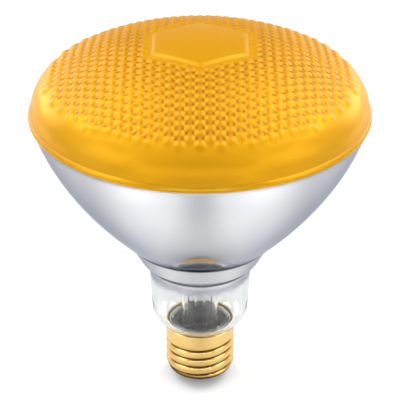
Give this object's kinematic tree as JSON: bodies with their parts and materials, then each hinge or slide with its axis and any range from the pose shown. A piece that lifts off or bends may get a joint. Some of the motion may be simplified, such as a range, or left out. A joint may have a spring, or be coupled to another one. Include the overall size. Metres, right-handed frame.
{
  "type": "flood bulb",
  "caption": "Reflector flood bulb: stippled yellow domed face with a plain six-sided pad, mirrored funnel body, clear neck with a wired glass stem, and a threaded brass screw base.",
  "frame": {"origin": "tip of the centre contact, on the axis of the bulb", "axes": "+Z along the axis of the bulb, from the contact to the face; +Y towards the side wire's solder; the picture looks along +Y with +X to the right"},
  "size_m": [0.1206, 0.1206, 0.1397],
  "materials": {
    "coated_glass": "glossy, with a yellow coat on the face, an aluminium mirror inside the funnel and a clear neck",
    "clear_glass": "glossy",
    "nickel_wire": "satin",
    "tungsten": "satin",
    "brass": "polished",
    "black_glass": "glossy",
    "solder": "satin",
    "cement": "matte"
  },
  "bodies": {
    "root": {"glass_envelope": "coated_glass", "glass_stem": "clear_glass", "centre_lead_wire": "nickel_wire", "side_lead_wire": "nickel_wire", "left_support_wire": "nickel_wire", "right_support_wire": "nickel_wire", "filament": "tungsten", "screw_shell": "brass", "base_insulator": "black_glass", "contact_eyelet": "brass", "contact_solder": "solder", "side_solder": "solder", "basing_cement": "cement"}
  },
  "joints": []
}
